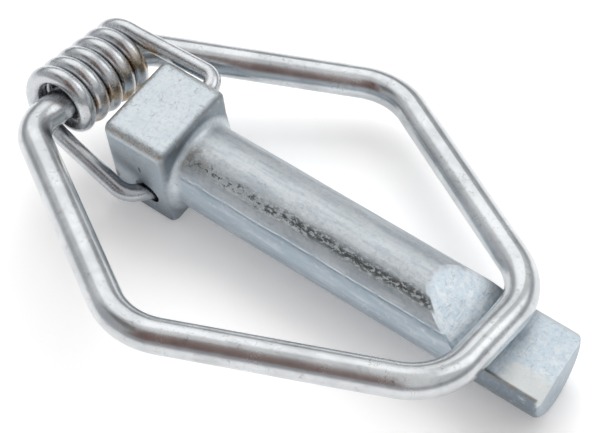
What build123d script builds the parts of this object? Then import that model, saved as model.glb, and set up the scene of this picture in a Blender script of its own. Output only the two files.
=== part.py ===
"""Lynch pin: a forged pin with a square head, a torsion spring and a wire bail.

X runs along the shank, from the shoulder under the head to the tip. Z points up through the
top of the head. Y runs across it: the near side is at negative Y and the far side at positive Y.
The origin is on the shank's axis at the shoulder. The bail is closed, its bar on the tongue.
"""

from build123d import *

import os
from math import asin, atan2, cos, hypot, pi, radians, sin, sqrt, tan

os.makedirs("parts", exist_ok=True)

# Shank, tongue and tip of the pin, in millimetres and degrees
shank_diameter = 16.0
shank_length = 77.0
tongue_length = 16.2
tongue_flat_height = 2.2
tongue_turn = -6.4
tongue_swell = 0.1
ramp_angle = 29.2
tip_slant = 4.5
tip_edge_radius = 1.3

# Head block, and the flare where it meets the shank
head_length = 13.9
head_width = 18.5
head_rise = 11.6
head_drop = 9.5
head_corner_radius = 1.9
head_back_radius = 1.8
head_front_radius = 1.1
flare_radius = 1.7

# Slanted holes that take the ends of the spring, placed on the two side faces of the head
near_hole_setback = 5.4
near_hole_rise = 7.0
far_hole_setback = 4.0
far_hole_inset = 3.0
hole_play = 0.55
hole_depth = 4.6
near_entry = Vector(0.7, 1.0, -0.35).normalized()
far_entry = Vector(0.25, -1.0, -0.1).normalized()

# Bail: a hexagon of round wire, open at the coil
bail_wire = 6.1
bail_width = 77.6
bail_bar_width = 27.8
bail_wide_share = 0.477
bail_roll = -13.3
bail_end_radius = 7.5
bail_side_radius = 12.0
bail_bar_radius = 12.5
bail_end_gap = 5.0
bar_side_shift = 4.05
bar_play = 1.55
seat_gap = 0.15

# Torsion spring: the coil, which turns freely on the ends of the bail, and its two legs
spring_wire = 3.3
coil_passes = 6
coil_pitch = 3.56
coil_play = 0.85
coil_gap = 2.7
coil_lift = 8.05
bail_coil_shift = 2.58
coil_side_shift = 2.3
coil_back_shift = 0.4
coil_rise = 0.3
coil_end_play = 0.85
leg_lead = 3.0
leg_ease_radius = 14.0
near_leg_run = 4.2
near_bend_radius = 4.0
far_leg_clearance = 1.2
far_bend_radius = 2.6
wire_end_depth = 3.4

# One overrun for every cut that has to pass a face
cut_overrun = 5.0

# Sizes that follow from the ones above
shank_radius = shank_diameter / 2
head_height = head_rise + head_drop
tongue_radius = shank_radius + tongue_swell
tongue_half_width = sqrt(tongue_radius**2 - tongue_flat_height**2)
ramp_foot = shank_length - tongue_length
ramp_top = ramp_foot - (shank_radius - tongue_flat_height) / tan(radians(ramp_angle))
bail_radius = bail_wire / 2
spring_radius = spring_wire / 2
hole_radius = spring_radius + hole_play
coil_radius = bail_radius + coil_play + spring_radius
coil_outer_radius = coil_radius + spring_radius

# The bar of the bail lies across the tongue, just past the foot of the ramp. The bail leans more
# than the flat does, so the far edge of the flat is what the bar comes down on, less seat_gap
turn = radians(tongue_turn)
roll = radians(bail_roll)
edge_y = tongue_half_width * cos(turn) - tongue_flat_height * sin(turn)
edge_z = tongue_half_width * sin(turn) + tongue_flat_height * cos(turn)
bar_station = ramp_foot + bail_radius + bar_play
bar_rise = (bail_radius + seat_gap - sin(roll) * (bar_side_shift + edge_y)) / cos(roll)
bar_centre = Vector(bar_station, -bar_side_shift, edge_z + bar_rise)

# The bail's own plane: its origin is halfway along the axis of its two ends, its X runs to the bar
end_centre = Vector(-(head_length + coil_gap + coil_outer_radius), -bail_coil_shift, coil_lift)
bail_x = (bar_centre - end_centre).normalized()
bail_across = Vector(0, cos(roll), sin(roll))
bail_plane = Plane(origin=end_centre, x_dir=bail_x, z_dir=bail_x.cross(bail_across))
bail_reach = (bar_centre - end_centre).length

# Places of the spring's two ends in the head
near_mouth = Vector(-near_hole_setback, -head_width / 2, near_hole_rise - head_drop)
far_mouth = Vector(-far_hole_setback, head_width / 2, head_rise - far_hole_inset)
far_leg_run = (spring_radius + far_leg_clearance) / abs(far_entry.Y)

# The coil hangs on the ends of the bail, a little off their axis within its play.
# Each leg leaves the coil along a tangent, so the angle where it leaves follows from where it goes:
# angles run from the top of the coil over its front, and dip is a leg's slope below the bail's plane
coil_centre = bail_plane.from_local_coords(Vector(-coil_back_shift, coil_side_shift, coil_rise))
coil_plane = Plane(origin=coil_centre, x_dir=bail_plane.x_dir, z_dir=bail_plane.z_dir)
near_bend = coil_plane.to_local_coords(near_mouth - near_entry * near_leg_run)
far_bend = coil_plane.to_local_coords(far_mouth - far_entry * far_leg_run)
near_dip = asin(coil_radius / hypot(near_bend.X, near_bend.Z)) + atan2(near_bend.Z, near_bend.X)
far_dip = asin(coil_radius / hypot(far_bend.X, far_bend.Z)) - atan2(far_bend.Z, far_bend.X)
coil_start = pi - near_dip
coil_turns = coil_passes + (far_dip - coil_start) / (2 * pi)
coil_length = coil_pitch * coil_turns
bail_end_half_width = coil_length / 2 + spring_radius + coil_side_shift + coil_end_play

# The coil's winding plane: Z along the coil's axis, X towards the start of the winding
winding_origin = coil_plane.from_local_coords(Vector(0, -coil_length / 2, 0))
winding_x = coil_plane.x_dir * sin(coil_start) + coil_plane.z_dir * cos(coil_start)
winding_plane = Plane(origin=winding_origin, x_dir=winding_x, z_dir=coil_plane.y_dir)


def leg_points(start, outward, mouth, entry, run):
    """Corners of a leg in the winding plane: coil, lead-out, bend and the end inside the head."""
    bend = winding_plane.to_local_coords(mouth - entry * run)
    end = winding_plane.to_local_coords(mouth + entry * wire_end_depth)
    return [start, start + outward * leg_lead, bend, end]


def spring_hole(mouth, entry):
    """Plane on which a spring hole is drawn: outside the head's side face, facing inwards."""
    return Plane(origin=mouth - entry * cut_overrun, z_dir=entry)


# The flare: a concave fillet turned around the shank and trimmed flush with the head's outline
with BuildPart() as flare:
    with BuildSketch():
        with BuildLine():
            foot = (flare_radius, shank_radius)
            rim = (0, shank_radius + flare_radius)
            Polyline(foot, (flare_radius, 0), (0, 0), rim)
            RadiusArc(rim, foot, -flare_radius)
        make_face()
    revolve(axis=Axis.X)
    with BuildSketch(Plane.YZ):
        with Locations((0, (head_rise - head_drop) / 2)):
            RectangleRounded(head_width, head_height, head_corner_radius)
    extrude(amount=flare_radius, mode=Mode.INTERSECT)

with BuildPart() as forged_pin:
    # Head block, with its outer edges rounded
    with BuildSketch(Plane.YZ):
        with Locations((0, (head_rise - head_drop) / 2)):
            RectangleRounded(head_width, head_height, head_corner_radius)
    extrude(amount=-head_length)
    fillet(forged_pin.faces().sort_by(Axis.X)[0].edges(), head_back_radius)

    # Round shank, which swells a little along the ramp
    with BuildSketch():
        with BuildLine():
            Polyline(
                (0, 0),
                (0, shank_radius),
                (ramp_top, shank_radius),
                (ramp_foot, tongue_radius),
                (shank_length + cut_overrun, tongue_radius),
                (shank_length + cut_overrun, 0),
                close=True,
            )
        make_face()
    revolve(axis=Axis.X)

    # The end is sheared off at a slant, longer on the near side, and its rim is rounded
    slant = radians(tip_slant)
    end_plane = Plane(origin=(shank_length, 0, 0), z_dir=(cos(slant), sin(slant), 0))
    split(bisect_by=end_plane, keep=Keep.BOTTOM)
    fillet(forged_pin.faces().sort_by(Axis.X)[-1].edges(), tip_edge_radius)

    # The flare joins the head to the shank, and the head's front outline is rounded over it
    add(flare.part)
    sides = forged_pin.faces().filter_by(lambda face: abs(face.normal_at().X) < 0.01 and face.center().X < 0)
    front_edges = [edge for edge in sides.edges() if edge.bounding_box().min.X > -head_front_radius]
    fillet(front_edges, head_front_radius)

    # Ramp and flat tongue, cut away from the top of the bar
    cut_plane = Plane.XZ.rotated((tongue_turn, 0, 0))
    with BuildSketch(cut_plane):
        with BuildLine():
            top = shank_radius + cut_overrun
            back = ramp_foot - (top - tongue_flat_height) / tan(radians(ramp_angle))
            tip = shank_length + cut_overrun
            Polyline(
                (back, top),
                (ramp_foot, tongue_flat_height),
                (tip, tongue_flat_height),
                (tip, top),
                close=True,
            )
        make_face()
    extrude(amount=top, both=True, mode=Mode.SUBTRACT)

    # Two slanted holes for the ends of the spring
    for mouth, entry in ((near_mouth, near_entry), (far_mouth, far_entry)):
        with BuildSketch(spring_hole(mouth, entry)):
            Circle(hole_radius)
        extrude(amount=cut_overrun + hole_depth, mode=Mode.SUBTRACT)
forged_pin.part.label = "forged_pin"
export_step(forged_pin.part, "parts/forged_pin.step")

with BuildPart() as wound_wire:
    # Coil, wound right-handed about the Z axis of the winding plane
    with BuildLine() as winding:
        Helix(coil_pitch, coil_length, coil_radius)
    helix = winding.edges()[0]
    with BuildSketch(Plane(origin=helix @ 0, z_dir=helix % 0)):
        Circle(spring_radius)
    sweep(path=helix, is_frenet=True)

    # Near leg from the start of the coil, far leg from its end
    near_leg = leg_points(helix @ 0, -(helix % 0), near_mouth, near_entry, near_leg_run)
    far_leg = leg_points(helix @ 1, helix % 1, far_mouth, far_entry, far_leg_run)
    for corners, bend_radius in ((near_leg, near_bend_radius), (far_leg, far_bend_radius)):
        with BuildLine() as leg:
            FilletPolyline(*corners, radius=[leg_ease_radius, bend_radius])
        with BuildSketch(Plane(origin=corners[0], z_dir=corners[1] - corners[0])):
            Circle(spring_radius)
        sweep(path=leg.wires()[0])

with BuildPart() as torsion_spring:
    with Locations(winding_plane):
        add(wound_wire.part)
torsion_spring.part.label = "torsion_spring"
export_step(torsion_spring.part, "parts/torsion_spring.step")

with BuildPart() as bail:
    wide_x = bail_reach * bail_wide_share
    far_side = [
        (0, bail_end_gap / 2),
        (0, bail_end_half_width),
        (wide_x, bail_width / 2),
        (bail_reach, bail_bar_width / 2),
    ]
    near_side = [(x, -y) for x, y in reversed(far_side)]
    side_radii = [bail_end_radius, bail_side_radius, bail_bar_radius]
    with BuildLine(bail_plane) as bail_path:
        FilletPolyline(*far_side, *near_side, radius=side_radii + side_radii[::-1])
    bail_wire_path = bail_path.wires()[0]
    with BuildSketch(Plane(origin=bail_wire_path @ 0, z_dir=bail_wire_path % 0)):
        Circle(bail_radius)
    sweep(path=bail_wire_path)
bail.part.label = "bail"
export_step(bail.part, "parts/bail.step")
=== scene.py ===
"""Zinc-plated lynch pin on a white studio table.

The pin and the bail are their CAD nodes, and the spring is a copy of its node. All three get
procedural finishes: forged zinc with scale pits, a parting seam and worn edges on the pin, bright
wire on the spring, and scuffed drawn wire on the bail.
"""

from math import cos, radians, sin
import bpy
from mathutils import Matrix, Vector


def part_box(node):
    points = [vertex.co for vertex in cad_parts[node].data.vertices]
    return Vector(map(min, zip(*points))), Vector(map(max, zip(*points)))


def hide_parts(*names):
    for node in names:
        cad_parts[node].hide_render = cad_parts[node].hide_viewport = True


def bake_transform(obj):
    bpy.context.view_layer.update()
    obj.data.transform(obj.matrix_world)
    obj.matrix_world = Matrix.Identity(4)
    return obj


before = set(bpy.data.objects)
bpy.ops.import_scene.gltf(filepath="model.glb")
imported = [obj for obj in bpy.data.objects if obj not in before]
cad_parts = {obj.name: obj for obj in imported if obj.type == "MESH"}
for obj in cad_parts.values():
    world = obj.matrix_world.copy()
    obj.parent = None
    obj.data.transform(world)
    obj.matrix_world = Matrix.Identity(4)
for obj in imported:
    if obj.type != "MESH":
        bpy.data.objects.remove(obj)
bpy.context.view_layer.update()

from types import SimpleNamespace

import bmesh
import bpy
import numpy as np
from bpy.props import FloatProperty, FloatVectorProperty, PointerProperty
from mathutils import Matrix, Vector

bl_info = {
    "name": "Lynch Pin",
    "version": (1, 0, 0),
    "blender": (4, 5, 0),
    "location": "View3D > Sidebar > Lynch Pin",
    "description": "Dresses the lynch pin with zinc finishes and sets up its studio",
    "category": "Object",
}

MILLIMETRES = 1000.0
MERGE_DISTANCE = 1e-6
SHARP_ANGLE = radians(40.0)
SENSOR_WIDTH = 36.0
PIN_LOW, PIN_HIGH = ([MILLIMETRES * side for side in corner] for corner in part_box("forged_pin"))

# Where the finishes lie, in millimetres on the part's own axes. A pair of numbers is where a soft step
# starts and where it ends: back and front are along x, side is along y and rise is along z. The
# smudge's low and high are angles round the shank, in radians.
HEAD = SimpleNamespace(
    front=(-0.6, 0.6),
    face=1.0,
    face_back=(-1.0, -0.2),
    face_front=(0.6, 1.8),
    face_radius=(8.8, 10.0),
    side=(8.6, 9.2),
    near_side=(-9.0, -8.6),
    shade_rise=(-8.0, 0.5),
    wear_full=0.4,
    wear_rise=(2.0, 8.0),
    fleck_reach=(0.8, 2.6),
    fleck_rise=(4.0, 9.0),
    long_nick=SimpleNamespace(middle=(-12.4, -2.2), reach=(0.7, 1.2)),
    thin_nick=SimpleNamespace(middle=(-6.1, 3.7), reach=(0.35, 1.0)),
)
SHANK = SimpleNamespace(
    radius=8.0,
    back=(0.6, 2.6),
    skin=(7.4, 7.8),
    deep_pits=(6.0, 34.0),
    smudge_back=(0.2, 1.4),
    smudge_front=(2.0, 9.0),
    smudge_low=(0.8, 1.0),
    smudge_high=(1.2, 1.7),
)
TONGUE = SimpleNamespace(
    back=(60.0, 62.0),
    slope=0.112,
    flats_back=(20.0, 40.0),
    flakes_rise=(1.0, 2.0),
    rub_back=(56.0, 60.0),
    rub_front=(67.0, 70.5),
    stain_back=(67.5, 71.5),
    stain_side=(-2.5, 0.5),
    stain_raggedness=4.0,
    stain_rise=(0.8, 1.6),
    stain_radius=(7.65, 7.95),
    rim_radius=(7.7, 7.95),
    rim_rise=(2.55, 2.8),
    tip_back=(75.2, 75.9),
    tip_rise=(1.5, 2.0),
)
COIL = SimpleNamespace(
    tint_back=(-22.5, -19.5),
    tint_front=(-16.6, -15.6),
    tint_side=(-9.0, -5.0),
    tint_rise=(9.0, 13.0),
    dirt_back=(-26.0, -22.0),
    dirt_front=(-18.0, -16.5),
    leg_back=(-17.5, -13.0),
    leg_side=(-6.0, -2.0),
)

# Cards that the metal reflects, on a sphere round the object: turns round the table from +X and rises
# above it, in degrees.
CARDS = {
    "dark_card": ((-152.0, -106.0), (44.0, 68.0)),
    "brown_card": ((-100.0, -46.0), (22.0, 78.0)),
    "grey_card": ((-160.0, -102.0), (2.0, 42.0)),
    "low_wall": ((-101.0, 198.0), (1.0, 22.0)),
}
CARD_DISTANCE = 0.9
CARD_COLUMNS = 33
CARD_ROWS = 17
TABLE_HALF_WIDTH = 3.0


class Wire:
    """One output in a node tree. Arithmetic on it adds Math nodes, and any other node comes from add."""

    def __init__(self, tree, socket=None):
        self.tree = tree
        self.socket = socket

    def add(self, kind, settings=None, inputs=None, output=0):
        """Adds a node of that kind: its settings first, then the values or links of its sockets."""
        node = self.tree.nodes.new(kind)
        for name, value in (settings or {}).items():
            setattr(node, name, value)
        for name, value in (inputs or {}).items():
            if isinstance(value, Wire):
                self.tree.links.new(value.socket, node.inputs[name])
            else:
                node.inputs[name].default_value = value
        return Wire(self.tree, node.outputs[output] if node.outputs else None)

    def math(self, operation, *values):
        return self.add("ShaderNodeMath", {"operation": operation}, dict(enumerate(values)))

    def __add__(self, other):
        return self.math("ADD", self, other)

    def __radd__(self, other):
        return self.math("ADD", other, self)

    def __sub__(self, other):
        return self.math("SUBTRACT", self, other)

    def __rsub__(self, other):
        return self.math("SUBTRACT", other, self)

    def __mul__(self, other):
        return self.math("MULTIPLY", self, other)

    def __rmul__(self, other):
        return self.math("MULTIPLY", other, self)

    def __neg__(self):
        return self.math("MULTIPLY", self, -1.0)

    def __abs__(self):
        return self.math("ABSOLUTE", self)

    def lower(self, other):
        return self.math("MINIMUM", self, other)

    def higher(self, other):
        return self.math("MAXIMUM", self, other)

    def ease(self, start, end):
        """0 where the value is at start, 1 at end, with a smooth step between them."""
        settings = {"interpolation_type": "SMOOTHSTEP"}
        return self.add("ShaderNodeMapRange", settings, {"Value": self, "From Min": start, "From Max": end})

    def noise(self, vector, scale, detail=2.0, roughness=0.5):
        """Fractal noise from 0 to 1, with its scale in features per millimetre."""
        inputs = {"Vector": vector, "Scale": scale, "Detail": detail, "Roughness": roughness}
        return self.add("ShaderNodeTexNoise", None, inputs)

    def stretch(self, vector, scale, turn=0.0):
        """The vector scaled along its own axes, then turned about z."""
        inputs = {"Vector": vector, "Rotation": (0.0, 0.0, turn), "Scale": scale}
        return self.add("ShaderNodeMapping", None, inputs)

    def hairline(self, vector, width):
        """Thin wandering lines: 1 where fractal noise passes through its middle value."""
        return 1 - abs(self.noise(vector, 1.0) - 0.5).ease(0.0, width)

    def oval(self, across, up, ragged, middle, reach):
        """1 inside an oval spot, with its edge broken up by the ragged noise."""
        aside = (across - middle[0]) * (1 / reach[0])
        above = (up - middle[1]) * (1 / reach[1])
        return 1 - (aside * aside + above * above + ragged - 0.5).ease(0.5, 1.2)

    def blend(self, mask, first, second):
        """First colour where the mask is 0, second colour where it is 1."""
        inputs = {0: mask, 6: as_colour(first), 7: as_colour(second)}
        return self.add("ShaderNodeMix", {"data_type": "RGBA"}, inputs, output=2)

    def layered(self, colour, layers):
        """The colour under a stack of layers: each is a mask, and the colour that shows where it is 1."""
        for mask, tone in layers:
            colour = self.blend(mask, colour, tone)
        return colour

    def bump(self, strength, relief):
        """The normal of a surface with that relief in millimetres."""
        inputs = {"Strength": strength, "Distance": 1 / MILLIMETRES, "Height": relief}
        return self.add("ShaderNodeBump", None, inputs)


def as_colour(value):
    return value if isinstance(value, Wire) else (*value, 1.0)


def shaded(name, paint):
    """A material: paint takes a Wire on the node tree and returns the inputs of its Principled shader."""
    material = bpy.data.materials.new(name)
    material.use_nodes = True
    tree = material.node_tree
    tree.nodes.clear()
    start = Wire(tree)
    shader = start.add("ShaderNodeBsdfPrincipled", None, paint(start))
    start.add("ShaderNodeOutputMaterial", None, {"Surface": shader})
    return material


def matte(name, colour, glow=(0.0, 0.0, 0.0)):
    """A plain matte material for the stage, with a glow that only the camera and reflections see."""

    def paint(start):
        path = start.add("ShaderNodeLightPath").socket.node
        camera, glossy, clear = (
            Wire(start.tree, path.outputs[f"Is {ray} Ray"]) for ray in ("Camera", "Glossy", "Transmission")
        )
        seen = start.blend(camera.higher(glossy).higher(clear), (0.0, 0.0, 0.0), glow)
        return {
            "Base Color": as_colour(colour),
            "Roughness": 0.9,
            "Emission Color": seen,
            "Emission Strength": 1.0,
        }

    material = shaded(name, paint)
    material.cycles.emission_sampling = "NONE"
    return material


def millimetre_coordinates(start):
    """The object's own coordinates in millimetres, whole and as x, y and z."""
    coordinates = start.add("ShaderNodeTexCoord", None, None, output="Object")
    inputs = {0: coordinates, "Scale": MILLIMETRES}
    place = start.add("ShaderNodeVectorMath", {"operation": "SCALE"}, inputs)
    split = start.add("ShaderNodeSeparateXYZ", None, {"Vector": place}).socket.node
    return place, *(Wire(start.tree, axis) for axis in split.outputs)


def dress(node, material):
    """Gives a CAD node its finish and leaves its mesh alone."""
    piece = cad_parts[node]
    piece.data.materials.clear()
    piece.data.materials.append(material)


def merged_copy(node, name):
    """A new piece from a CAD node's mesh, with its loose triangles merged into one smooth skin."""
    skin = bmesh.new()
    skin.from_mesh(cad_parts[node].data)
    bmesh.ops.remove_doubles(skin, verts=skin.verts, dist=MERGE_DISTANCE)
    mesh = bpy.data.meshes.new(name)
    skin.to_mesh(mesh)
    skin.free()
    mesh.shade_smooth()
    mesh.set_sharp_from_angle(angle=SHARP_ANGLE)
    piece = bpy.data.objects.new(name, mesh)
    bpy.context.scene.collection.objects.link(piece)
    return piece


def pin_places(start):
    """Where a point lies on the pin, and the noises that several of its marks share.

    The angle round the shank is 0 at the near side and a quarter turn at the top.
    """
    place, x, y, z = millimetre_coordinates(start)
    at = SimpleNamespace(start=start, place=place, x=x, y=y, z=z)
    at.angle = start.math("ARCTAN2", z, -y)
    at.around = start.add("ShaderNodeCombineXYZ", None, {"X": x, "Y": at.angle * SHANK.radius})
    at.radius = start.math("SQRT", y * y + z * z)
    at.on_head = 1 - x.ease(*HEAD.front)
    at.on_shank = x.ease(*SHANK.back) * at.radius.ease(*SHANK.skin)
    at.on_tongue = x.ease(*TONGUE.back)
    at.cloud = start.noise(place, 0.14, 3.0, 0.55)
    at.grain = start.noise(place, 0.8, 5.0, 0.66)
    at.fine = start.noise(place, 3.0, 3.0, 0.65)
    at.patch = start.noise(place, 0.35, 3.0, 0.6).ease(0.45, 0.6)
    return at


def shank_marks(at, look):
    """Pits in a wandering band with painted highlights on their lips and specks above it, the parting seam,
    streaks and a smudge on the flare.
    """
    start = at.start
    wander = (start.noise(at.x * 0.09, 1.0, 4.0) - 0.5) * 0.26
    off_band = at.angle - look.pit_angle - wander
    band = (1 - abs(off_band).ease(0.03, look.pit_width)) * at.on_shank * (1 - at.on_tongue)
    pit = start.noise(start.stretch(at.around, (0.9, 1.5, 1.0)), 1.0, 5.0, 0.72)
    pit = pit + at.x.ease(*SHANK.deep_pits) * 0.1
    speck = start.noise(start.stretch(at.around, (1.1, 1.9, 1.0)), 1.0, 4.0, 0.7).ease(0.57, 0.67)

    off_seam = at.angle - look.seam_angle - wander * 0.3
    seam_break = start.noise(at.x * 0.3, 1.0, 3.0).ease(0.36, 0.56)
    streak = start.noise(start.stretch(at.around, (0.1, 0.7, 1.0)), 1.0, 4.0, 0.65)
    streaked = at.on_shank * (1 - at.on_tongue)
    smudged = at.x.ease(*SHANK.smudge_back) * (1 - at.x.ease(*SHANK.smudge_front))
    smudged = smudged * at.angle.ease(*SHANK.smudge_low) * (1 - at.angle.ease(*SHANK.smudge_high))
    return SimpleNamespace(
        band=band,
        pits=band * pit.ease(0.52, 0.62),
        # Painted highlights round the pits' lips, with a little relief.
        pit_lip_highlights=band.ease(0.1, 0.5) * (1 - abs(pit - 0.5).ease(0.01, 0.035)),
        specks=speck * at.on_shank * off_band.ease(-0.12, 0.02) * (1 - off_band.ease(0.3, 0.75)),
        upper=at.on_shank * off_band.ease(0.0, 0.5),
        seam=(1 - abs(off_seam + 0.045).ease(0.01, 0.045)) * at.on_shank * seam_break,
        seam_lip=(1 - abs(off_seam).ease(0.008, 0.032)) * at.on_shank * seam_break,
        below=(1 - off_seam.ease(-0.02, 0.05)) * at.on_shank,
        pale_streaks=streaked * streak.ease(0.5, 0.62),
        dark_streaks=streaked * (1 - streak.ease(0.38, 0.5)),
        smudge=smudged * at.grain.ease(0.42, 0.56),
    )


def head_marks(at, look):
    """Wear along the head's edges, nicks and scores on its faces, and where painted shade darkens its sides,
    its low part and its front face round the shank.

    On a box's surface the second smallest distance to its faces is the distance to an edge.
    """
    start = at.start
    from_side = PIN_HIGH[1] - abs(at.y)
    from_top = (PIN_HIGH[2] - at.z).lower(at.z - PIN_LOW[2])
    from_end = (at.x - PIN_LOW[0]).lower(HEAD.face - at.x)
    edge = from_side.lower(from_top).higher(from_side.higher(from_top).lower(from_end))
    worn = (1 - edge.ease(HEAD.wear_full, look.wear_width * MILLIMETRES)) * at.z.ease(*HEAD.wear_rise)
    flecked = (1 - edge.ease(*HEAD.fleck_reach)) * at.z.ease(*HEAD.fleck_rise)
    scores = start.hairline(start.stretch(at.place, (0.45, 0.2, 0.4), -0.6), 0.016)
    long_nick, thin_nick = (
        start.oval(at.x, at.z, at.grain, nick.middle, nick.reach)
        for nick in (HEAD.long_nick, HEAD.thin_nick)
    )
    face = at.x.ease(*HEAD.face_back) * (1 - at.x.ease(*HEAD.face_front))
    return SimpleNamespace(
        worn=worn * at.on_head * (at.grain * 0.6 + at.fine * 0.4).ease(0.4, 0.56),
        flecks=flecked * at.on_head * at.fine.ease(0.56, 0.66),
        scores=scores * at.on_head * at.patch * at.grain.ease(0.46, 0.58),
        nicks=long_nick.higher(thin_nick) * (1 - at.y.ease(*HEAD.near_side)),
        side=at.on_head * abs(at.y).ease(*HEAD.side),
        low=at.on_head * (1 - at.z.ease(*HEAD.shade_rise)),
        face=face * at.radius.ease(*HEAD.face_radius),
    )


def tongue_marks(at):
    """Flakes on the hammered flats, rub marks under the bail's bar whose dark streaks are partly painted
    shadow, a film on one corner, a dark rim, and the tip's end face for painted shade.
    """
    start = at.start
    flats = at.x.ease(*TONGUE.flats_back) * (1 - at.on_shank)
    hammered = start.noise(start.stretch(at.place, (0.55, 0.8, 0.6), 0.5), 1.0, 5.0, 0.72)
    rubbed = at.x.ease(*TONGUE.rub_back) * (1 - at.x.ease(*TONGUE.rub_front)) * (1 - at.on_shank)
    rub = start.noise(start.stretch(at.place, (2.2, 0.3, 0.3)), 1.0, 4.0, 0.7)
    ragged_side = at.y + at.grain * TONGUE.stain_raggedness
    filmed = at.x.ease(*TONGUE.stain_back) * (1 - ragged_side.ease(*TONGUE.stain_side))
    rim = at.radius.ease(*TONGUE.rim_radius) * at.z.ease(*TONGUE.rim_rise)
    level = at.z + at.y * TONGUE.slope
    return SimpleNamespace(
        flats=flats,
        flakes=hammered.ease(0.47, 0.62) * flats * at.z.ease(*TONGUE.flakes_rise),
        pale_rubs=rubbed * rub.ease(0.5, 0.62),
        dark_rubs_and_shadow=rubbed * (1 - rub.ease(0.36, 0.5)),
        stain=filmed * at.z.ease(*TONGUE.stain_rise) * (1 - at.radius.ease(*TONGUE.stain_radius)),
        rim=rim * at.on_tongue * at.grain.ease(0.36, 0.5),
        tip=at.x.ease(*TONGUE.tip_back) * (1 - level.ease(*TONGUE.tip_rise)),
    )


def pin_paint(start):
    """Forged and zinc-plated steel: layers of colour, and the gloss and relief of the same marks."""
    look = bpy.context.scene.lynch_pin_forging
    at = pin_places(start)
    shank = shank_marks(at, look)
    head = head_marks(at, look)
    tongue = tongue_marks(at)
    wave = start.noise(at.place, 0.3, 2.0, 0.5)
    mottle = start.noise(at.place, 1.3, 4.0, 0.7).ease(0.48, 0.64)
    along = start.hairline(start.stretch(at.place, (0.12, 0.5, 0.4), 0.7), 0.01)
    across = start.hairline(start.stretch(at.place, (0.5, 0.1, 0.4), 0.3), 0.01)
    scratches = (along * at.patch).higher(across * (1 - at.patch))
    scratches = scratches * (1 - at.on_shank) * at.fine.ease(0.4, 0.55)
    # Painted shade: darker zinc on the tongue's near side and underside, low on the head, on the head's
    # front face round the shank and on the tongue's end face.
    shade = (shank.below * at.on_tongue * 0.85).higher(head.low)
    shade = shade.higher(head.face * 0.8).higher(tongue.tip * 0.5)

    zinc = start.blend(at.cloud.ease(0.32, 0.68), look.plating_deep, look.plating)
    colour = start.layered(zinc, (
        (tongue.flats * 0.8, look.flat_blue),
        (shank.upper * 0.75, look.shank_grey),
        # Painted shade with a bluer tone: the shank under the seam and the head's sides are darker.
        (shank.below.higher(head.side * 0.6) * 0.8, look.shank_blue_shade),
        (shade * 0.85, look.shade_blue),
        (tongue.pale_rubs * 0.5, look.plating_pale),
        # Dark rub marks, partly painted shadow at the ramp's foot and under the bail's bar.
        (tongue.dark_rubs_and_shadow * 0.45, look.seam_blue),
        (mottle * 0.3, look.shank_blue_shade),
        (tongue.flakes * 0.6, look.plating_pale),
        (at.grain.ease(0.56, 0.7) * 0.35, look.plating_pale),
        (shank.pale_streaks * 0.22, look.plating_pale),
        (shank.dark_streaks * 0.28, look.seam_blue),
        (shank.specks * 0.65, look.plating_pale),
        ((scratches * 0.42).higher(head.nicks * 0.75), look.scale_dark),
        (head.scores * 0.5, look.smudge_brown),
        (shank.band * 0.16 + shank.pits * 0.74, look.scale_dark),
        # Painted highlights along the pits' lips.
        (shank.pit_lip_highlights * 0.4, look.plating_pale),
        (shank.seam * 0.85, look.seam_blue),
        (shank.seam_lip * 0.6, look.plating_pale),
        (tongue.stain * 0.75, look.stain_beige),
        (shank.smudge * 0.5, look.smudge_brown),
        (head.worn * 0.8, look.worn_edge),
        (tongue.rim * 0.7, look.smudge_brown),
        (head.flecks * 0.6, look.smudge_brown),
    ))

    roughness = 0.38 + (at.cloud - 0.5) * 0.2 + at.grain * 0.1
    roughness = roughness + shank.upper * 0.06 + shank.band * 0.1 - shank.below * 0.06 - shank.specks * 0.1
    relief = at.grain * 0.09 + at.fine * 0.016 + wave * 0.14 - scratches * 0.02 + tongue.flakes * 0.012
    relief = relief - shank.pits * 0.14 + shank.pit_lip_highlights * 0.03 + shank.specks * 0.05
    relief = relief - shank.below * 0.06 + shank.seam_lip * 0.05
    relief = relief - head.nicks * 0.2 - head.scores * 0.03 - head.flecks * 0.05
    normal = start.bump(0.8, relief)
    return {"Metallic": 1.0, "Base Color": colour, "Roughness": roughness, "Normal": normal}


def spring_paint(start):
    """Bright plated wire, with a brown tint and dirt between the coil's turns and painted shade on the near
    leg.
    """
    look = bpy.context.scene.lynch_pin_wire
    place, x, y, z = millimetre_coordinates(start)
    cloud = start.noise(place, 0.22, 3.0, 0.6)
    grain = start.noise(place, 2.2, 3.0, 0.6)
    tint = x.ease(*COIL.tint_back) * (1 - x.ease(*COIL.tint_front)) * y.ease(*COIL.tint_side)
    tint = tint * (1 - z.ease(*COIL.tint_rise)) * cloud.ease(0.4, 0.55)
    dirt = x.ease(*COIL.dirt_back) * (1 - x.ease(*COIL.dirt_front)) * grain.ease(0.54, 0.66)
    near_leg = x.ease(*COIL.leg_back) * (1 - y.ease(*COIL.leg_side))

    zinc = start.blend((cloud * 0.7 + grain * 0.3).ease(0.38, 0.6), look.spring_deep, look.spring)
    colour = start.layered(zinc, (
        # Painted shade on the near leg.
        (near_leg * 0.6, look.near_leg_shade),
        (tint * 0.75, look.passivate),
        (dirt * 0.4, look.dirt),
    ))
    roughness = 0.2 + grain * 0.08 + cloud * 0.05
    normal = start.bump(0.5, grain * 0.015 + cloud * 0.1)
    return {"Metallic": 1.0, "Base Color": colour, "Roughness": roughness, "Normal": normal}


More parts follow.
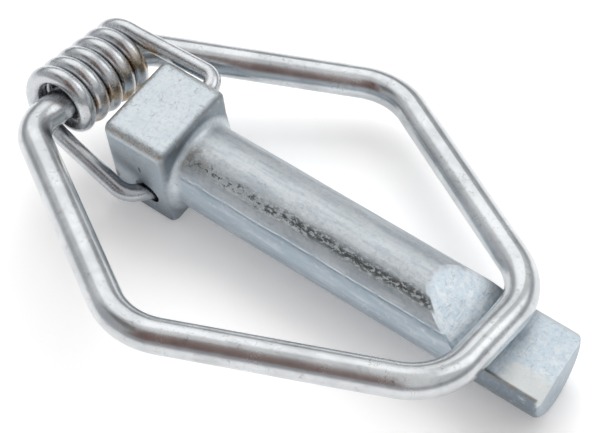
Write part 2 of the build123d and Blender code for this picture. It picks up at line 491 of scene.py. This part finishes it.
def bail_paint(start):
    """Drawn wire under zinc, with faint clouding and patches of fine scuffs."""
    look = bpy.context.scene.lynch_pin_wire
    place = millimetre_coordinates(start)[0]
    cloud = start.noise(place, 0.12, 3.0, 0.6)
    grain = start.noise(place, 2.6, 3.0, 0.6)
    lengthwise = start.hairline(start.stretch(place, (0.3, 0.7, 0.5), 0.4), 0.012)
    slanted = start.hairline(start.stretch(place, (0.8, 0.3, 0.5), 0.9), 0.012)
    scuffs = lengthwise.higher(slanted) * start.noise(place, 0.5, 3.0, 0.6).ease(0.46, 0.6)

    zinc = start.blend(cloud.ease(0.35, 0.65), look.bail_deep, look.bail)
    colour = start.layered(zinc, (
        (grain.ease(0.5, 0.75) * 0.2, look.bail_deep),
        (scuffs * 0.45, look.dirt),
    ))
    roughness = 0.18 + cloud * 0.12 + grain * 0.03
    normal = start.bump(0.4, grain * 0.006 + cloud * 0.12 - scuffs * 0.012)
    return {"Metallic": 1.0, "Base Color": colour, "Roughness": roughness, "Normal": normal}


def surface(name, points, material):
    """A grid from an array of points, rows by columns by 3, with one quad between neighbours."""
    rows, columns = points.shape[:2]
    index = np.arange(rows * columns).reshape(rows, columns)
    quads = np.stack([index[:-1, :-1], index[:-1, 1:], index[1:, 1:], index[1:, :-1]], axis=-1)
    mesh = bpy.data.meshes.new(name)
    mesh.from_pydata(points.reshape(-1, 3).tolist(), [], quads.reshape(-1, 4).tolist())
    mesh.materials.append(material)
    piece = bpy.data.objects.new(name, mesh)
    bpy.context.scene.collection.objects.link(piece)
    return piece


def table_points(slope, height):
    """A square of the plane z = height + slope * x, sampled at its corners."""
    ends = (-TABLE_HALF_WIDTH, TABLE_HALF_WIDTH)
    x, y = np.meshgrid(ends, ends, indexing="ij")
    return np.stack([x, y, height + slope * x], axis=-1)


def card_points(turns, rises):
    """Part of a sphere round the object, between two turns round the table and two rises above it."""
    turns = np.radians(np.linspace(*turns, CARD_COLUMNS))
    rises = np.radians(np.linspace(*rises, CARD_ROWS))
    turn, rise = np.meshgrid(turns, rises, indexing="ij")
    ring = CARD_DISTANCE * np.cos(rise)
    return np.stack([ring * np.cos(turn), ring * np.sin(turn), CARD_DISTANCE * np.sin(rise)], axis=-1)


def colour_property(name, description, default):
    return FloatVectorProperty(name=name, description=description, subtype="COLOR", size=3, default=default)


def place_property(name, description, default):
    return FloatVectorProperty(
        name=name, description=description, subtype="TRANSLATION", unit="LENGTH", size=3, default=default
    )


def length_property(name, description, default):
    return FloatProperty(name=name, description=description, unit="LENGTH", default=default)


def angle_property(name, description, degrees):
    return FloatProperty(name=name, description=description, subtype="ANGLE", default=radians(degrees))


def power_property(name, description, default):
    return FloatProperty(name=name, description=description, unit="POWER", default=default)


class LynchPinForging(bpy.types.PropertyGroup):
    """Colours and places of the finish on the forged pin."""

    plating: colour_property("Plating", "Zinc on the forging", (0.65, 0.70, 0.73))
    plating_deep: colour_property("Deep plating", "Darker clouds in the zinc", (0.56, 0.615, 0.65))
    plating_pale: colour_property("Pale plating", "Rubbed, paler zinc", (0.78, 0.80, 0.81))
    shank_grey: colour_property("Shank grey", "Duller zinc on the top of the shank", (0.59, 0.625, 0.65))
    # Bluer zinc, darkened as painted shade on the shank's underside and the head's sides.
    shank_blue_shade: colour_property("Shank blue", "Bluer zinc under the seam", (0.345, 0.41, 0.47))
    scale_dark: colour_property("Scale", "Dark forge scale in the pits", (0.10, 0.105, 0.10))
    seam_blue: colour_property("Seam", "Blue-grey line of the parting seam", (0.28, 0.36, 0.42))
    smudge_brown: colour_property("Smudge", "Brown marks on the flare and edges", (0.22, 0.19, 0.15))
    worn_edge: colour_property("Worn edge", "Warm bare metal along edges", (0.44, 0.38, 0.29))
    flat_blue: colour_property("Flats", "Bluer zinc on the ramp and the tongue", (0.60, 0.69, 0.76))
    # Painted shade: the dark colour laid on the tongue's near side and underside, the head's low part and
    # front face, and the tongue's end face.
    shade_blue: colour_property("Shade", "Duller zinc low on the head and the tongue", (0.14, 0.17, 0.2))
    stain_beige: colour_property("Stain", "Warm film on the tongue's near corner", (0.66, 0.67, 0.65))
    pit_angle: angle_property("Pit angle", "Middle of the pitted band, from the near side up", 60.0)
    pit_width: FloatProperty(
        name="Pit width", description="Half width of the pitted band", subtype="ANGLE", default=0.19
    )
    seam_angle: angle_property("Seam angle", "Parting seam, from the near side up", 36.0)
    wear_width: length_property("Wear width", "Width of the worn edges", 0.0015)


class LynchPinWire(bpy.types.PropertyGroup):
    """Colours of the two wires, and two lengths along the spring's legs."""

    spring: colour_property("Spring", "Zinc on the spring wire", (0.64, 0.66, 0.68))
    spring_deep: colour_property("Deep spring", "Darker zinc on the spring wire", (0.53, 0.55, 0.57))
    # Painted shade: the darker colour of the near leg.
    near_leg_shade: colour_property("Near leg", "Duller zinc on the near leg", (0.33, 0.355, 0.385))
    passivate: colour_property("Tint", "Brown tint of the plating between turns", (0.45, 0.29, 0.13))
    dirt: colour_property("Dirt", "Dark specks on the coil and scuffs on the bail", (0.17, 0.165, 0.14))
    bail: colour_property("Bail", "Zinc on the bail", (0.69, 0.71, 0.725))
    bail_deep: colour_property("Deep bail", "Darker clouds on the bail", (0.56, 0.58, 0.595))
    flex_start: length_property("Flex start", "The legs are held by the head in front of this", -0.0095)
    flex_end: length_property("Flex end", "The legs move with the coil behind this", -0.0165)


class LynchPinStudio(bpy.types.PropertyGroup):
    """Camera, table, cards and lights."""

    camera: place_property("Camera", "Where the camera stands", (0.14575, -0.13144, 0.27722))
    target: place_property("Target", "What the camera looks at", (0.02207, 0.00092, 0.0))
    roll: angle_property("Roll", "Lean of the camera to its right", 7.31)
    lens: FloatProperty(name="Lens", description="Focal length", unit="CAMERA", default=112.0)
    table: colour_property("Table", "White of the table", (0.93, 0.93, 0.93))
    table_glow: colour_property("Table glow", "What lifts the table to white", (0.2, 0.2, 0.2))
    table_rise: length_property("Table rise", "How far the table rises from head to tip", 0.0014)
    dark_card: colour_property("Dark card", "Card by the camera that metal reflects", (0.16, 0.155, 0.15))
    brown_card: colour_property("Brown card", "Card under the camera", (0.19, 0.11, 0.09))
    grey_card: colour_property("Grey card", "Card on the near side", (0.55, 0.56, 0.58))
    low_wall: colour_property("Low wall", "Grey wall round the table", (0.42, 0.43, 0.45))
    key: power_property("Key", "Power of the soft box on the left", 1.75)
    key_size: length_property("Key size", "Width of the soft box on the left", 0.95)
    key_place: place_property("Key place", "Middle of the soft box on the left", (-0.478, 0.430, 0.766))
    fill: power_property("Fill", "Power of the soft box at the back", 1.0)
    fill_size: length_property("Fill size", "Width of the soft box at the back", 0.6)
    fill_place: place_property("Fill place", "Middle of the soft box at the back", (0.461, 0.612, 0.643))
    table_power: power_property("Table light", "Power of the light that only matte surfaces show", 8.5)
    table_light_size: length_property("Table light size", "Width of the table light", 0.9)
    table_light_place: place_property("Table light place", "Middle of the table light", (-0.35, 0.75, 0.8))
    sky: FloatProperty(name="Sky", description="Strength of the white room", default=0.75)


class LYNCHPIN_OT_pin(bpy.types.Operator):
    """Give the forged pin its plated, pitted and worn finish"""

    bl_idname = "lynch_pin.pin"
    bl_label = "Finish the pin"

    def execute(self, context):
        dress("forged_pin", shaded("forged_zinc", pin_paint))
        return {"FINISHED"}


class LYNCHPIN_OT_spring(bpy.types.Operator):
    """Give the torsion spring its bright wire finish, on a merged copy of its mesh"""

    bl_idname = "lynch_pin.spring"
    bl_label = "Finish the spring"

    def execute(self, context):
        wire = merged_copy("torsion_spring", "spring_wire")
        wire.data.materials.append(shaded("spring_zinc", spring_paint))
        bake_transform(wire)
        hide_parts("torsion_spring")
        return {"FINISHED"}


class LYNCHPIN_OT_bail(bpy.types.Operator):
    """Give the bail its scuffed drawn-wire finish"""

    bl_idname = "lynch_pin.bail"
    bl_label = "Finish the bail"

    def execute(self, context):
        dress("bail", shaded("bail_zinc", bail_paint))
        return {"FINISHED"}


class LYNCHPIN_OT_stage(bpy.types.Operator):
    """Set up the table, the lights and the camera"""

    bl_idname = "lynch_pin.stage"
    bl_label = "Set up the studio"

    def execute(self, context):
        studio = context.scene.lynch_pin_studio
        slope = studio.table_rise * MILLIMETRES / PIN_HIGH[0]
        white = matte("table_white", studio.table, studio.table_glow)
        floor = surface("table", table_points(slope, PIN_LOW[2] / MILLIMETRES), white)
        for name, (turns, rises) in CARDS.items():
            card = surface(name, card_points(turns, rises), matte(name + "_paper", getattr(studio, name)))
            card.visible_camera = False
        self.light("key_box", studio.key, studio.key_size, studio.key_place)
        self.light("fill_box", studio.fill, studio.fill_size, studio.fill_place)
        table_light = self.light(
            "table_light", studio.table_power, studio.table_light_size, studio.table_light_place
        )
        table_light.visible_glossy = False
        self.surroundings(context, studio.sky)
        self.camera(context, studio)
        context.scene.view_settings.view_transform = "Standard"
        return {"FINISHED"}

    def light(self, name, power, size, place):
        """A square soft light that faces the object."""
        place = Vector(place)
        lamp = bpy.data.lights.new(name, "AREA")
        lamp.shape = "SQUARE"
        lamp.size = size
        lamp.energy = power
        stand = bpy.data.objects.new(name, lamp)
        stand.matrix_world = Matrix.Translation(place) @ place.to_track_quat("Z", "Y").to_matrix().to_4x4()
        bpy.context.scene.collection.objects.link(stand)
        return stand

    def surroundings(self, context, strength):
        """A white room all round, which is what plated metal mostly shows."""
        world = bpy.data.worlds.new("white_room")
        world.use_nodes = True
        world.node_tree.nodes.clear()
        start = Wire(world.node_tree)
        white = {"Color": (1.0, 1.0, 1.0, 1.0), "Strength": strength}
        background = start.add("ShaderNodeBackground", None, white)
        start.add("ShaderNodeOutputWorld", None, {"Surface": background})
        context.scene.world = world

    def camera(self, context, studio):
        """The camera's axes: level right and up for its line of sight, turned by the roll."""
        place, target = Vector(studio.camera), Vector(studio.target)
        sight = (target - place).normalized()
        level_right = sight.cross(Vector((0.0, 0.0, 1.0))).normalized()
        level_up = level_right.cross(sight)
        up = level_up * cos(studio.roll) + level_right * sin(studio.roll)
        right = sight.cross(up)
        lens = bpy.data.cameras.new("camera")
        lens.lens = studio.lens
        lens.sensor_width = SENSOR_WIDTH
        stand = bpy.data.objects.new("camera", lens)
        stand.matrix_world = Matrix.Translation(place) @ Matrix((right, up, -sight)).transposed().to_4x4()
        context.scene.collection.objects.link(stand)
        context.scene.camera = stand


class LYNCHPIN_PT_panel(bpy.types.Panel):
    """Lists the steps that dress the lynch pin"""

    bl_idname = "LYNCHPIN_PT_panel"
    bl_label = "Lynch Pin"
    bl_space_type = "VIEW_3D"
    bl_region_type = "UI"
    bl_category = "Lynch Pin"

    def draw(self, context):
        for operator in OPERATORS:
            self.layout.operator(operator.bl_idname)


GROUPS = {
    "lynch_pin_forging": LynchPinForging,
    "lynch_pin_wire": LynchPinWire,
    "lynch_pin_studio": LynchPinStudio,
}
OPERATORS = (LYNCHPIN_OT_pin, LYNCHPIN_OT_spring, LYNCHPIN_OT_bail, LYNCHPIN_OT_stage)


def register():
    for cls in (*GROUPS.values(), *OPERATORS, LYNCHPIN_PT_panel):
        bpy.utils.register_class(cls)
    for name, group in GROUPS.items():
        setattr(bpy.types.Scene, name, PointerProperty(type=group))


def unregister():
    for name in GROUPS:
        delattr(bpy.types.Scene, name)
    for cls in reversed((*GROUPS.values(), *OPERATORS, LYNCHPIN_PT_panel)):
        bpy.utils.unregister_class(cls)


def main():
    register()
    bpy.ops.lynch_pin.pin()
    bpy.ops.lynch_pin.spring()
    bpy.ops.lynch_pin.bail()
    bpy.ops.lynch_pin.stage()


if __name__ == "__main__":
    main()
